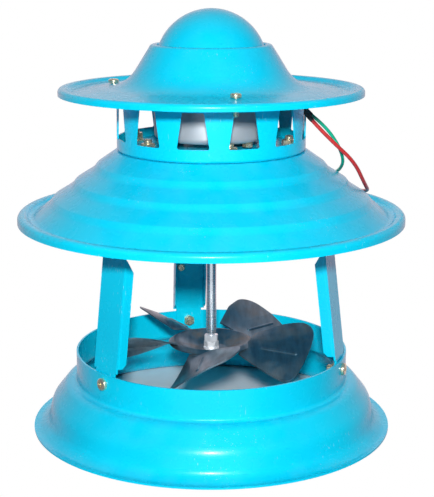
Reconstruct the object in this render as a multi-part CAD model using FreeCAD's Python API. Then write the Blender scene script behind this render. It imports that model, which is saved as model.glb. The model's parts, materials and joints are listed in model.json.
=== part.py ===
import FreeCAD, Part
import math
import os

# Electric chimney draught fan.
# Z is the fan axis, Z = 0 is the plane the flared base skirt stands on and the
# origin is the centre of that skirt.  All sizes are in millimetres and all
# angles in degrees, counted counter-clockwise from +X seen from above.

V = FreeCAD.Vector
ORIGIN = V(0, 0, 0)
AXIS = V(0, 0, 1)
SEAT = 0.10            # gap left between two clamped faces
THREAD_GAP = 0.05      # radial gap between a plain shank and its nut
FIT = 0.03             # radial running clearance of the shaft in its bushes
SHAFT_R = 4.0

# ---- base skirt: collar, bulge and flat lip, one spun sheet
SKIRT_T = 1.5
COLLAR_R = 107.2
COLLAR_TOP = 61.2
COLLAR_FOOT = 37.5
COLLAR_FOOT_BEND = 2.5
SHOULDER_STEP = 7.8    # flat shoulder between the collar and the bulge
SHOULDER_DROP = 1.0
SHOULDER_BEND = 8.0
BULGE_R = COLLAR_R + 19.8
BULGE_Z = 21.5
BULGE_BEND = 16.0
FLARE_R = BULGE_R + 3.0
FLARE_TOP = 5.5
FLARE_BEND = 9.0
LIP_WIDTH = 5.2
LIP_BEND = 6.0
RIM_R = FLARE_R + 11.9

# ---- neck stack: hood crown, ring flange, motor plate
CROWN_TOP = 220.0
CROWN_EDGE_R = 73.6
NECK_HOLE_R = 50.0
HOOD_T = 1.2
RING_T = 1.2
RING_R = CROWN_EDGE_R - 1.0
RING_BEND = 2.0
PLATE_T = 2.5
PLATE_GAP = 4.0        # plate edge to ring
PLATE_HOLE_R = 10.0
PLATE_ROUND = 0.8

# ---- three channel legs
LEG_ANGLES = [101.0, 221.0, 341.0]
LEG_T = 1.5
LEG_W = 27.0
TAB_W = 22.0
TAB_BOTTOM = COLLAR_TOP - 16.7
TAB_BEND_UP = 3.5      # height of the lean's first bend above the collar edge
LEG_KNEE_R = CROWN_EDGE_R + 15.6
LEG_KNEE_Z = CROWN_TOP - 22.0
LEG_BEND = 4.5
LEAN_BEND = 18.0
FOOT_ROUND = 6.0
FOOT_CORNER_R = CROWN_EDGE_R - 4.1   # where the leg turns flat under the hood's crown
FOOT_END_R = NECK_HOLE_R + 2.0
FLANGE_DEPTH = 9.0
FLANGE_START = 2.5     # along the leg, from the first bend
FLANGE_LENGTH = 82.0
FLANGE_CHAMFER = 10.0
FLANGE_BEND = 2.6

# ---- rain hood
HOOD_SLOPE = 0.76
HOOD_R = 150.0
HOOD_LIP_TOP = CROWN_TOP - 47.6
HOOD_LIP_BOTTOM = HOOD_LIP_TOP - 6.8
HOOD_LIP_W = 7.2
HOOD_GUTTER_R = HOOD_R - 10.0
HOOD_GUTTER_Z = HOOD_LIP_TOP - 4.8
HOOD_RIDGES = [CROWN_EDGE_R + 14.4, CROWN_EDGE_R + 31.4, CROWN_EDGE_R + 48.4]
RIDGE_RUN = 3.4        # radial length of the steep face below a ridge
RIDGE_RISE = 0.9
RIDGE_BEND = 2.4
BAND_BEND = 9.0
HOOD_LIP_BENDS = [3.5, 3.2, 3.6]

# ---- windows in the louvre ring
WINDOWS = 12
WINDOW_FIRST = -10.5
WINDOW_BOTTOM = CROWN_TOP + 10.0
WINDOW_TOP = WINDOW_BOTTOM + 26.5
WINDOW_W_BOTTOM = 24.0
WINDOW_W_TOP = 16.0
WINDOW_CORNER = 1.4

# ---- top cap: crown with brim, and its dome
CAP_T = 1.2
CAP_R = 116.8
CAP_GUTTER_Z = CROWN_TOP + 44.8
CAP_GUTTER_R = CAP_R - 9.4
CAP_LIP_TOP = CAP_GUTTER_Z + 3.4
CAP_LIP_BOTTOM = CAP_LIP_TOP - 5.4
CAP_LIP_W = 6.0
BRIM_SLOPE = 0.123
DOME_SPHERE_R = 42.8
DOME_SPIGOT_R = DOME_SPHERE_R - 1.5
DOME_SPIGOT_LENGTH = 4.0
SHOULDER_R = DOME_SPIGOT_R + 4.5
SHOULDER_Z = CAP_GUTTER_Z + 35.5
DOME_TOP = SHOULDER_Z + 26.7
CROWN_SLOPE = 1.6
CROWN_BEND = 27.0
MOUTH_BENDS = [1.2, 2.8]     # where the dome drops into the crown
CAP_LIP_BENDS = [4.0, 2.8, 3.0]
MOUTH_DEPTH = 7.0
CAP_RING_OVERLAP = 14.0   # width of the ring flange under the brim

# ---- fasteners
M6_R = 2.95
M6_HOLE_R = 3.25
M6_HEAD_R = 6.0
M6_HEAD_H = 3.9
M6_NUT_AF = 10.0
M6_NUT_H = 5.0
M6_WASHER_R = 6.2
M6_WASHER_T = 1.2
M5_R = 2.45
M5_HOLE_R = 2.75
M5_HEAD_R = 4.8
M5_HEAD_H = 2.5
M5_NUT_AF = 8.0
M5_NUT_H = 4.0
M4_R = 1.95
M4_HOLE_R = 2.2
M4_HEAD_R = 4.0
M4_HEAD_H = 2.8
M4_NUT_AF = 7.0
M4_NUT_H = 3.2
LOWER_SCREW_DROP = 7.7     # screw axis below the collar edge
LOWER_SCREW_LENGTH = 12.0
NECK_SCREW_R = RING_R - 10.6
NECK_SCREW_TOP = CROWN_TOP + 13.5
CAP_SCREW_R = RING_R + 7.4
CAP_SCREW_ANGLES = [42.5, 162.5, 282.5]
CAP_SCREW_LENGTH = 14.0
EARTH_SCREW_Z = COLLAR_TOP + 41.8
EARTH_SCREW_OFFSET = 7.5
EARTH_SCREW_LENGTH = 8.0

# ---- motor
CAN_R = 44.0
CAN_T = 1.5
CAN_BEND = 4.0
CAN_HEIGHT = 54.6
CAN_SPLIT = 0.5            # seam height as a share of the can height
PAD_H = 5.0
PAD_R = 7.0
MOTOR_SCREW_R = CAN_R - 14.0
MOTOR_SCREW_LENGTH = 14.2
BOLT_R = CAN_R - 5.5
BOLT_ANGLES = [75.0, 195.0, 315.0]
STATOR_BORE_R = CAN_R - 18.0
STATOR_LENGTH = 20.0
SLOTS = 12
SLOT_W = 5.0
SLOT_IN_R = STATOR_BORE_R + 4.0
SLOT_OUT_R = CAN_R - 8.0
COIL_IN_R = SLOT_IN_R - 1.5
COIL_OUT_R = SLOT_OUT_R - 0.2
COIL_H = 6.2
COIL_ROUND = 2.0
COIL_GAP = 0.2
COIL_SIDE_GAP = 0.3    # winding to slot wall
AIR_GAP = 0.5
END_RING_IN_R = 15.0
END_RING_H = 4.0
BUSH_R = SHAFT_R + 3.0
BUSH_LENGTH = 8.0
POCKET_T = 2.0
POCKET_GAP = 0.05
END_RING_INSET = 1.0
END_PLAY = 0.5         # shaft end to the motor's top
CLIP_R = SHAFT_R + 2.4
CLIP_T = 1.0
CLIP_GAP = 0.5

# ---- shaft and impeller
SHOULDER_GAP = 1.2     # shaft shoulder above the lock nut
THREAD_TAIL = 2.7      # thread left below the lowest nut
IMPELLER_T = 1.2
BLADES = 5
BLADE_FIRST = -26.0
BLADE_TIP_R = 82.0
BLADE_LOW_EDGE = -16.0     # angles of the tip's two ends from the blade's middle
BLADE_HIGH_EDGE = 23.5
BLADE_SHOULDER_R = 58.0    # widest place of the high edge
BLADE_SHOULDER_ANGLE = 29.5
BLADE_ROOT_R = 30.0
BLADE_ROOT_LOW_W = 13.0
BLADE_ROOT_HIGH_W = 19.0
BLADE_LOW_CORNER = 9.0
BLADE_HIGH_CORNER = 15.0
BLADE_PITCH = 30.0
BLADE_CAMBER = 6.0         # pitch added below the first crease and lost above the second
BLADE_CREASE = 10.0        # each crease's distance from the blade's middle
BLADE_ROOT_PITCH = 12.0
HUB_FLOOR_Z = 59.6
HUB_FLOOR_R = 13.0
HUB_RISE_R = HUB_FLOOR_R + 13.0
HUB_BEAD_R = BLADE_ROOT_R
HUB_BEAD_Z = HUB_FLOOR_Z + 8.0
HUB_R = HUB_BEAD_R + 4.0
BLADE_Z = HUB_FLOOR_Z + 4.4
BLADE_ROOT_Z = HUB_FLOOR_Z + 6.4
BLADE_RIB_R = 1.5
BLADE_RIB_START = 14.0     # from the blade's root
BLADE_RIB_END = 9.0        # from the blade's tip

# ---- leads
RED_R = 1.5
GREEN_R = 1.3
LEAD_EXIT_DROP = 9.7   # below the top of the motor
LEAD_EXIT_ANGLE = -9.0
LEAD_PITCH = 4.0           # distance between the two leads in the grommet
GROMMET_WALL = 1.6
GROMMET_LIP = 1.2


# ---------------------------------------------------------------- helpers
def xz(a, b):
    return V(a, 0, b)


def xy(a, b):
    return V(a, b, 0)


def rounded_edges(points, radii):
    """Straight runs joined by tangent arcs; radii belong to the inner points."""
    edges = []
    last = points[0]
    for i in range(1, len(points)):
        end = points[i]
        if i == len(points) - 1:
            if (end - last).Length > 1e-5:
                edges.append(Part.LineSegment(last, end).toShape())
            break
        a = points[i] - points[i - 1]
        b = points[i + 1] - points[i]
        a.normalize()
        b.normalize()
        turn = math.acos(max(-1.0, min(1.0, a.dot(b))))
        radius = radii[i - 1]
        if radius < 1e-4 or turn < 1e-4:
            start = stop = points[i]
        else:
            run = radius * math.tan(turn / 2)
            start = points[i] - a * run
            stop = points[i] + b * run
        if (start - last).Length > 1e-5:
            edges.append(Part.LineSegment(last, start).toShape())
        if start is not stop:
            inward = b - a
            inward.normalize()
            centre = points[i] + inward * (radius / math.cos(turn / 2))
            edges.append(Part.Arc(start, centre - inward * radius, stop).toShape())
        last = stop
    return edges


def sheet_face(points, radii, thickness, plane=xz):
    """Section of bent sheet: a path and its copy moved to the left of travel.

    A negative thickness puts the sheet to the right of the path."""
    count = len(points)
    heading = []
    for i in range(count - 1):
        da = points[i + 1][0] - points[i][0]
        db = points[i + 1][1] - points[i][1]
        size = math.hypot(da, db)
        heading.append((da / size, db / size))
    moved = []
    moved_radii = []
    for i in range(count):
        before = heading[max(i - 1, 0)]
        after = heading[min(i, count - 2)]
        left = (-before[1] - after[1], before[0] + after[0])
        scale = thickness / (1 + before[0] * after[0] + before[1] * after[1])
        moved.append((points[i][0] + left[0] * scale, points[i][1] + left[1] * scale))
        if 0 < i < count - 1:
            turn = before[0] * after[1] - before[1] * after[0]
            change = -thickness if turn > 0 else thickness
            radius = radii[i - 1]
            moved_radii.append(max(radius + change, 0.0) if radius > 0 else 0.0)
    near = [plane(a, b) for a, b in points]
    far = [plane(a, b) for a, b in moved]
    edges = rounded_edges(near, radii)
    edges.append(Part.LineSegment(near[-1], far[-1]).toShape())
    edges += rounded_edges(far[::-1], moved_radii[::-1])
    edges.append(Part.LineSegment(far[0], near[0]).toShape())
    return Part.Face(Part.Wire(Part.__sortEdges__(edges)))


def spun(points, radii, thickness):
    """Sheet turned about the fan axis from a radius/height path."""
    return sheet_face(points, radii, thickness).revolve(ORIGIN, AXIS, 360)


def tube(outer, inner, bottom, top):
    solid = Part.makeCylinder(outer, top - bottom, V(0, 0, bottom))
    if inner > 0:
        solid = solid.cut(Part.makeCylinder(inner, top - bottom + 2, V(0, 0, bottom - 1)))
    return solid


def rounded_plate(points, radius, plane=xy):
    """Closed polygon with equal corner radii."""
    start = ((points[0][0] + points[-1][0]) / 2.0, (points[0][1] + points[-1][1]) / 2.0)
    loop = [start] + list(points) + [start]
    edges = rounded_edges([plane(a, b) for a, b in loop], [radius] * len(points))
    return Part.Face(Part.Wire(Part.__sortEdges__(edges)))


def turned(shape, angle):
    copy = shape.copy()
    copy.rotate(ORIGIN, AXIS, angle)
    return copy


def lifted(shape, x, z):
    copy = shape.copy()
    copy.translate(V(x, 0, z))
    return copy


def outward(shape, x, z, y=0):
    """Lay a part modelled along +Z so that it points away from the fan axis."""
    copy = shape.copy()
    copy.rotate(ORIGIN, V(0, 1, 0), 90)
    copy.translate(V(x, y, z))
    return copy


def ring_of(shape, angles):
    return Part.makeCompound([turned(shape, angle) for angle in angles])


def drilled(shape, radius, where, angles):
    """Vertical holes right through a part, all at one distance from the axis."""
    box = shape.BoundBox
    drill = Part.makeCylinder(radius, box.ZLength + 2, V(where, 0, box.ZMin - 1))
    for angle in angles:
        shape = shape.cut(turned(drill, angle))
    return shape


def pan_screw(shank_r, length, head_r, head_h):
    """Cross-recess pan head on Z = 0 with its shank pointing down."""
    head = Part.makeCylinder(head_r, head_h)
    head = head.makeFillet(head_h * 0.45, [e for e in head.Edges if e.BoundBox.ZMin > head_h - 1e-6
                                           and e.BoundBox.ZMax > head_h - 1e-6])
    for angle in (0, 90):
        slot = Part.makeBox(head_r * 1.1, head_r * 0.24, head_h,
                            V(-head_r * 0.55, -head_r * 0.12, head_h * 0.5))
        head = head.cut(turned(slot, angle))
    shank = Part.makeCylinder(shank_r, length, V(0, 0, -length))
    foot = [e for e in shank.Edges if e.BoundBox.ZMax < -length + 1e-6]
    shank = shank.makeChamfer(shank_r * 0.25, foot)
    return head.fuse(shank).removeSplitter()


def hex_nut(bore_r, across, height):
    """Hexagon nut standing on Z = 0 with both faces chamfered."""
    corner = across / math.sqrt(3)
    points = [V(corner * math.cos(math.radians(60 * k)), corner * math.sin(math.radians(60 * k)), 0)
              for k in range(7)]
    prism = Part.Face(Part.makePolygon(points)).extrude(V(0, 0, height))
    cut = corner - across / 2
    rim = [(0, 0), (across / 2, 0), (corner, cut * 0.6), (corner, height - cut * 0.6),
           (across / 2, height), (0, height), (0, 0)]
    blank = Part.Face(Part.makePolygon([xz(a, b) for a, b in rim])).revolve(ORIGIN, AXIS, 360)
    return prism.common(blank).cut(Part.makeCylinder(bore_r, height + 2, V(0, 0, -1)))


def cord(points, radius, label):
    """Round lead along straight runs joined by tangent arcs."""
    lengths = [(points[i + 1] - points[i]).Length for i in range(len(points) - 1)]
    radii = []
    for i in range(1, len(points) - 1):
        a = points[i] - points[i - 1]
        b = points[i + 1] - points[i]
        half = a.getAngle(b) / 2
        radii.append(0.45 * min(lengths[i - 1], lengths[i]) / math.tan(half))
    path = Part.Wire(rounded_edges(points, radii))
    first = points[1] - points[0]
    section = Part.Wire(Part.Circle(points[0], first, radius).toShape())
    solid = path.makePipeShell([section], True, False)
    share = solid.Volume / (math.pi * radius ** 2 * path.Length)
    print(label, "bend radii", [round(r, 1) for r in radii],
          "runs", [round(n, 1) for n in lengths],
          "length", round(path.Length, 1), "volume ratio", round(share, 4))
    return solid


def at(radius, angle, height):
    return V(radius * math.cos(math.radians(angle)), radius * math.sin(math.radians(angle)), height)


PARTS = {}

# ---------------------------------------------------------------- base skirt
skirt_path = [
    (COLLAR_R, COLLAR_TOP),
    (COLLAR_R, COLLAR_FOOT),
    (COLLAR_R + SHOULDER_STEP, COLLAR_FOOT - SHOULDER_DROP),
    (BULGE_R, BULGE_Z),
    (FLARE_R, FLARE_TOP),
    (RIM_R - LIP_WIDTH, SKIRT_T),
    (RIM_R, SKIRT_T),
]
skirt = spun(skirt_path, [COLLAR_FOOT_BEND, SHOULDER_BEND, BULGE_BEND, FLARE_BEND, LIP_BEND], -SKIRT_T)
lower_screw_z = COLLAR_TOP - LOWER_SCREW_DROP
side_drill = outward(Part.makeCylinder(M5_HOLE_R, 30), COLLAR_R - 15, lower_screw_z)
for angle in LEG_ANGLES:
    skirt = skirt.cut(turned(side_drill, angle))
PARTS["base_skirt"] = skirt

# ---------------------------------------------------------------- legs
wall_r = COLLAR_R - SKIRT_T - SEAT
leg_face_x = math.sqrt(wall_r ** 2 - (TAB_W / 2) ** 2)
lean_start_z = COLLAR_TOP + TAB_BEND_UP
foot_top = CROWN_TOP - HOOD_T - SEAT
leg_path = [
    (leg_face_x, TAB_BOTTOM),
    (leg_face_x, lean_start_z),
    (LEG_KNEE_R, LEG_KNEE_Z),
    (FOOT_CORNER_R, foot_top),
    (FOOT_END_R, foot_top),
]
strip = sheet_face(leg_path, [LEAN_BEND, LEG_BEND, LEG_BEND], LEG_T)
strip.translate(V(0, -LEG_W / 2, 0))
strip = strip.extrude(V(0, LEG_W, 0))
# narrow the tab so that it fits the round collar
for side in (-1, 1):
    trim = Part.makeBox(20, LEG_W, lean_start_z - 1 - TAB_BOTTOM + 5,
                        V(leg_face_x - 10, -LEG_W / 2 + side * (LEG_W + TAB_W) / 2, TAB_BOTTOM - 5))
    strip = strip.cut(trim)
# round the foot's free end
foot_plan = rounded_plate([(FOOT_END_R, -LEG_W / 2), (FOOT_END_R + 300, -LEG_W / 2),
                           (FOOT_END_R + 300, LEG_W / 2), (FOOT_END_R, LEG_W / 2)], FOOT_ROUND)
foot_plan.translate(V(0, 0, -10))
strip = strip.common(foot_plan.extrude(V(0, 0, 300)))

lean = math.degrees(math.atan2(leg_face_x - LEG_KNEE_R, LEG_KNEE_Z - lean_start_z))
channel_path = [(-FLANGE_DEPTH, LEG_W / 2), (0, LEG_W / 2), (0, -LEG_W / 2), (-FLANGE_DEPTH, -LEG_W / 2)]
channel = sheet_face(channel_path, [FLANGE_BEND, FLANGE_BEND], -LEG_T, xy)
channel = channel.extrude(V(0, 0, FLANGE_LENGTH))
outline = rounded_plate([(LEG_T, -1), (LEG_T, FLANGE_LENGTH + 1), (-LEG_T, FLANGE_LENGTH + 1),
                         (-FLANGE_DEPTH - 0.5, FLANGE_LENGTH - FLANGE_CHAMFER),
                         (-FLANGE_DEPTH - 0.5, 4.0), (-FLANGE_DEPTH + 4.0, -1)], 0.8, xz)
outline.translate(V(0, -LEG_W, 0))
channel = channel.common(outline.extrude(V(0, 2 * LEG_W, 0)))
channel.rotate(ORIGIN, V(0, 1, 0), -lean)
channel.translate(V(leg_face_x, 0, lean_start_z))
along = V(-math.sin(math.radians(lean)), 0, math.cos(math.radians(lean)))
channel.translate(along * FLANGE_START)
leg = strip.fuse(channel).removeSplitter()
leg = leg.cut(side_drill)
leg = drilled(leg, M6_HOLE_R, NECK_SCREW_R, [0])
for name, angle in zip(("leg_rear", "leg_left", "leg_right"), LEG_ANGLES):
    PARTS[name] = turned(leg, angle)

# ---------------------------------------------------------------- rain hood
def cone_z(radius):
    return CROWN_TOP - HOOD_SLOPE * (radius - CROWN_EDGE_R)


hood_path = [(NECK_HOLE_R, CROWN_TOP), (CROWN_EDGE_R, CROWN_TOP)]
hood_bends = [RIDGE_BEND]
for radius in HOOD_RIDGES:
    hood_path.append((radius, cone_z(radius) + RIDGE_RISE))
    hood_path.append((radius + RIDGE_RUN, cone_z(radius + RIDGE_RUN) - RIDGE_RISE))
    hood_bends += [RIDGE_BEND, BAND_BEND]
hood_path += [
    (HOOD_GUTTER_R, HOOD_GUTTER_Z),
    (HOOD_R - HOOD_LIP_W, HOOD_LIP_TOP),
    (HOOD_R, HOOD_LIP_TOP),
    (HOOD_R, HOOD_LIP_BOTTOM),
]
hood_bends += HOOD_LIP_BENDS
hood = spun(hood_path, hood_bends, -HOOD_T)
NECK_ANGLES = LEG_ANGLES + CAP_SCREW_ANGLES
hood = drilled(hood, M6_HOLE_R, NECK_SCREW_R, NECK_ANGLES)
PARTS["rain_hood"] = hood

# ---------------------------------------------------------------- louvre ring
def brim_z(radius):
    return CAP_GUTTER_Z + BRIM_SLOPE * (CAP_GUTTER_R - radius)


brim_tilt = math.cos(math.atan(BRIM_SLOPE))


def ring_flange_z(radius):
    return brim_z(radius) - (CAP_T + RING_T + SEAT) / brim_tilt


flange_bottom = CROWN_TOP + SEAT
flange_end_r = RING_R + CAP_RING_OVERLAP
ring_path = [
    (NECK_HOLE_R, flange_bottom),
    (RING_R, flange_bottom),
    (RING_R, ring_flange_z(RING_R)),
    (flange_end_r, ring_flange_z(flange_end_r)),
]
ring = spun(ring_path, [RING_BEND, RING_BEND], RING_T)
window = rounded_plate([(-WINDOW_W_BOTTOM / 2, WINDOW_BOTTOM), (WINDOW_W_BOTTOM / 2, WINDOW_BOTTOM),
                        (WINDOW_W_TOP / 2, WINDOW_TOP), (-WINDOW_W_TOP / 2, WINDOW_TOP)],
                       WINDOW_CORNER, lambda a, b: V(RING_R - 10, a, b))
window = window.extrude(V(20, 0, 0))
for k in range(WINDOWS):
    ring = ring.cut(turned(window, WINDOW_FIRST + k * 360.0 / WINDOWS))
ring = drilled(ring, M6_HOLE_R, NECK_SCREW_R, NECK_ANGLES)
ring = drilled(ring, M4_HOLE_R, CAP_SCREW_R, CAP_SCREW_ANGLES)
PARTS["louvre_ring"] = ring

# ---------------------------------------------------------------- motor plate
plate_bottom = flange_bottom + RING_T + SEAT
plate_top = plate_bottom + PLATE_T
MOTOR_SCREW_ANGLES = [angle + 60.0 for angle in LEG_ANGLES]
plate_r = RING_R - RING_T - PLATE_GAP
plate = tube(plate_r, PLATE_HOLE_R, plate_bottom, plate_top)
rim = [e for e in plate.Edges if abs(e.BoundBox.XMax - plate_r) < 1e-3 and e.BoundBox.ZMin > plate_top - 1e-4]
plate = plate.makeFillet(PLATE_ROUND, rim)
plate = drilled(plate, M6_HOLE_R, NECK_SCREW_R, NECK_ANGLES)
plate = drilled(plate, M4_HOLE_R, MOTOR_SCREW_R, MOTOR_SCREW_ANGLES)
PARTS["motor_plate"] = plate

# ---------------------------------------------------------------- top cap
steep_foot_r = ((SHOULDER_Z + CROWN_SLOPE * SHOULDER_R - CAP_GUTTER_Z - BRIM_SLOPE * CAP_GUTTER_R)
                / (CROWN_SLOPE - BRIM_SLOPE))
mouth_r = DOME_SPIGOT_R + SEAT
cap_path = [
    (mouth_r, SHOULDER_Z - MOUTH_DEPTH),
    (mouth_r, SHOULDER_Z),
    (SHOULDER_R, SHOULDER_Z),
    (steep_foot_r, brim_z(steep_foot_r)),
    (CAP_GUTTER_R, CAP_GUTTER_Z),
    (CAP_R - CAP_LIP_W, CAP_LIP_TOP),
    (CAP_R, CAP_LIP_TOP),
    (CAP_R, CAP_LIP_BOTTOM),
]
cap = spun(cap_path, MOUTH_BENDS + [CROWN_BEND] + CAP_LIP_BENDS, -CAP_T)
PARTS["cap_crown"] = drilled(cap, M4_HOLE_R, CAP_SCREW_R, CAP_SCREW_ANGLES)

dome_tilt = math.acos(DOME_SPIGOT_R / DOME_SPHERE_R)
dome_foot_z = DOME_TOP - DOME_SPHERE_R + DOME_SPHERE_R * math.sin(dome_tilt)
dome_run = DOME_SPHERE_R * math.tan((math.pi / 2 - dome_tilt) / 2)
dome_path = [
    (0, DOME_TOP),
    (dome_run, DOME_TOP),
    (DOME_SPIGOT_R, dome_foot_z),
    (DOME_SPIGOT_R, dome_foot_z - DOME_SPIGOT_LENGTH),
]
PARTS["cap_dome"] = spun(dome_path, [DOME_SPHERE_R, 0], -CAP_T)

# ---------------------------------------------------------------- motor
can_bottom = plate_top + PAD_H + 2 * SEAT
can_top = can_bottom + CAN_HEIGHT
seam_z = can_bottom + CAN_HEIGHT * CAN_SPLIT
stator_bottom = (can_bottom + can_top - STATOR_LENGTH) / 2
stator_top = stator_bottom + STATOR_LENGTH
pocket_r = BUSH_R + POCKET_GAP

lower_shell = spun([(SHAFT_R + 0.8, can_bottom), (CAN_R, can_bottom), (CAN_R, seam_z - SEAT / 2)],
                   [CAN_BEND], CAN_T)
pocket = tube(pocket_r + POCKET_T, pocket_r, can_bottom + CAN_T * 0.5, can_bottom + CAN_T + BUSH_LENGTH)
lower_shell = lower_shell.fuse(pocket).removeSplitter()
lower_shell = lower_shell.cut(tube(pocket_r, 0, can_bottom + CAN_T, can_bottom + CAN_T + BUSH_LENGTH + 1))
lower_shell = drilled(lower_shell, M4_HOLE_R, MOTOR_SCREW_R, MOTOR_SCREW_ANGLES)
lower_shell = drilled(lower_shell, M4_HOLE_R, BOLT_R, BOLT_ANGLES)
upper_shell = spun([(0, can_top), (CAN_R, can_top), (CAN_R, seam_z + SEAT / 2)], [CAN_BEND], -CAN_T)
pocket = tube(pocket_r + POCKET_T, pocket_r, can_top - CAN_T - BUSH_LENGTH, can_top - CAN_T * 0.5)
upper_shell = upper_shell.fuse(pocket).removeSplitter()
upper_shell = upper_shell.cut(tube(pocket_r, 0, can_top - CAN_T - BUSH_LENGTH - 1, can_top - CAN_T))
upper_shell = drilled(upper_shell, M4_HOLE_R, BOLT_R, BOLT_ANGLES)

# obround hole for the two leads, and the grommet in it
lead_exit_z = can_top - LEAD_EXIT_DROP


def obround(half_length, radius, start_x, depth):
    block = Part.makeBox(depth, 2 * half_length, 2 * radius, V(start_x, -half_length, -radius))
    for side in (-1, 1):
        end = outward(Part.makeCylinder(radius, depth), start_x, 0, side * half_length)
        block = block.fuse(end)
    return block.removeSplitter()


hole_r = RED_R + SEAT + GROMMET_WALL
lead_hole = obround(LEAD_PITCH / 2, hole_r, CAN_R - 8, 12)
grommet = obround(LEAD_PITCH / 2, hole_r - SEAT, CAN_R - CAN_T - 1.8, CAN_T + 3.8)
lip_inner = obround(LEAD_PITCH / 2, hole_r + GROMMET_LIP, CAN_R + 0.4, 1.4)
lip_outer = lip_inner.copy()
lip_outer.translate(V(-CAN_T - 2.9, 0, 0))
grommet = grommet.fuse(lip_inner).fuse(lip_outer).removeSplitter()
for side, radius in ((-1, RED_R), (1, GREEN_R)):
    bore = outward(Part.makeCylinder(radius + SEAT, 20), CAN_R - 12, 0, side * LEAD_PITCH / 2)
    grommet = grommet.cut(bore)
for piece in (lead_hole, grommet):
    piece.translate(V(0, 0, lead_exit_z))
upper_shell = upper_shell.cut(turned(lead_hole, LEAD_EXIT_ANGLE))
PARTS["motor_lower_shell"] = lower_shell
PARTS["motor_upper_shell"] = upper_shell
PARTS["lead_grommet"] = turned(grommet, LEAD_EXIT_ANGLE)

stator_r = CAN_R - CAN_T - SEAT
stator = tube(stator_r, STATOR_BORE_R, stator_bottom, stator_top)
slot = Part.makeBox(SLOT_OUT_R - SLOT_IN_R, SLOT_W, STATOR_LENGTH + 2,
                    V(SLOT_IN_R, -SLOT_W / 2, stator_bottom - 1))
SLOT_ANGLES = [k * 360.0 / SLOTS for k in range(SLOTS)]
for angle in SLOT_ANGLES:
    stator = stator.cut(turned(slot, angle))
PARTS["stator_core"] = drilled(stator, M4_HOLE_R, BOLT_R, BOLT_ANGLES)

coil_ring = tube(COIL_OUT_R, COIL_IN_R, 0, COIL_H)
coil_ring = coil_ring.makeFillet(COIL_ROUND, [e for e in coil_ring.Edges if e.Curve.TypeId == "Part::GeomCircle"])
windings = lifted(coil_ring, 0, stator_top + COIL_GAP)
windings = windings.fuse(lifted(coil_ring, 0, stator_bottom - COIL_GAP - COIL_H))
bar = Part.makeBox(SLOT_OUT_R - SLOT_IN_R - 1.0, SLOT_W - 2 * COIL_SIDE_GAP, STATOR_LENGTH + 2 * COIL_GAP + COIL_H,
                   V(SLOT_IN_R + 0.5, -SLOT_W / 2 + COIL_SIDE_GAP, stator_bottom - COIL_GAP - COIL_H / 2))
for angle in SLOT_ANGLES:
    windings = windings.fuse(turned(bar, angle))
PARTS["stator_windings"] = windings

bush = tube(BUSH_R, SHAFT_R + FIT, 0, BUSH_LENGTH)
PARTS["bush_lower"] = lifted(bush, 0, can_bottom + CAN_T)
PARTS["bush_upper"] = lifted(bush, 0, can_top - CAN_T - BUSH_LENGTH)

pad = tube(PAD_R, M4_HOLE_R, 0, PAD_H)
pad = lifted(pad, MOTOR_SCREW_R, plate_top + SEAT)
PARTS["motor_pads"] = ring_of(pad, MOTOR_SCREW_ANGLES)
motor_screw = pan_screw(M4_R, MOTOR_SCREW_LENGTH, M4_HEAD_R, M4_HEAD_H)
motor_screw.rotate(ORIGIN, V(1, 0, 0), 180)
motor_screw = lifted(motor_screw, MOTOR_SCREW_R, plate_bottom - SEAT)
PARTS["motor_screws"] = ring_of(motor_screw, MOTOR_SCREW_ANGLES)
m4_nut = hex_nut(M4_R + THREAD_GAP, M4_NUT_AF, M4_NUT_H)
PARTS["motor_screw_nuts"] = ring_of(lifted(m4_nut, MOTOR_SCREW_R, can_bottom + CAN_T + SEAT),
                                    MOTOR_SCREW_ANGLES)
bolt = pan_screw(M4_R, CAN_HEIGHT + M4_NUT_H + 3 * SEAT + 0.4, M4_HEAD_R, M4_HEAD_H)
PARTS["motor_bolts"] = ring_of(lifted(bolt, BOLT_R, can_top + SEAT), BOLT_ANGLES)
PARTS["motor_bolt_nuts"] = ring_of(lifted(m4_nut, BOLT_R, can_bottom - SEAT - M4_NUT_H), BOLT_ANGLES)

# ---------------------------------------------------------------- fasteners
lower_screw = pan_screw(M5_R, LOWER_SCREW_LENGTH, M5_HEAD_R, M5_HEAD_H)
lower_screw = outward(lower_screw, COLLAR_R + SEAT, lower_screw_z)
PARTS["leg_lower_screws"] = ring_of(lower_screw, LEG_ANGLES)
m5_nut = hex_nut(M5_R + THREAD_GAP, M5_NUT_AF, M5_NUT_H)
lower_nut = outward(m5_nut, leg_face_x - LEG_T - SEAT - M5_NUT_H, lower_screw_z)
PARTS["leg_lower_nuts"] = ring_of(lower_nut, LEG_ANGLES)

m6_nut = hex_nut(M6_R + THREAD_GAP, M6_NUT_AF, M6_NUT_H)
leg_head_z = foot_top - LEG_T - SEAT
upper_screw = pan_screw(M6_R, NECK_SCREW_TOP - leg_head_z, M6_HEAD_R, M6_HEAD_H)
upper_screw.rotate(ORIGIN, V(1, 0, 0), 180)
PARTS["leg_upper_screws"] = ring_of(lifted(upper_screw, NECK_SCREW_R, leg_head_z), LEG_ANGLES)
neck_head_z = CROWN_TOP - HOOD_T - SEAT
neck_screw = pan_screw(M6_R, NECK_SCREW_TOP - neck_head_z, M6_HEAD_R, M6_HEAD_H)
neck_screw.rotate(ORIGIN, V(1, 0, 0), 180)
PARTS["neck_screws"] = ring_of(lifted(neck_screw, NECK_SCREW_R, neck_head_z), CAP_SCREW_ANGLES)
m6_washer = tube(M6_WASHER_R, M6_R + 0.3, 0, M6_WASHER_T)
top_washer = lifted(m6_washer, NECK_SCREW_R, plate_top + SEAT)
PARTS["neck_washers"] = ring_of(top_washer, NECK_ANGLES)
top_nut = lifted(m6_nut, NECK_SCREW_R, plate_top + 2 * SEAT + M6_WASHER_T)
PARTS["leg_upper_nuts"] = ring_of(top_nut, LEG_ANGLES)
PARTS["neck_nuts"] = ring_of(top_nut, CAP_SCREW_ANGLES)

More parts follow.
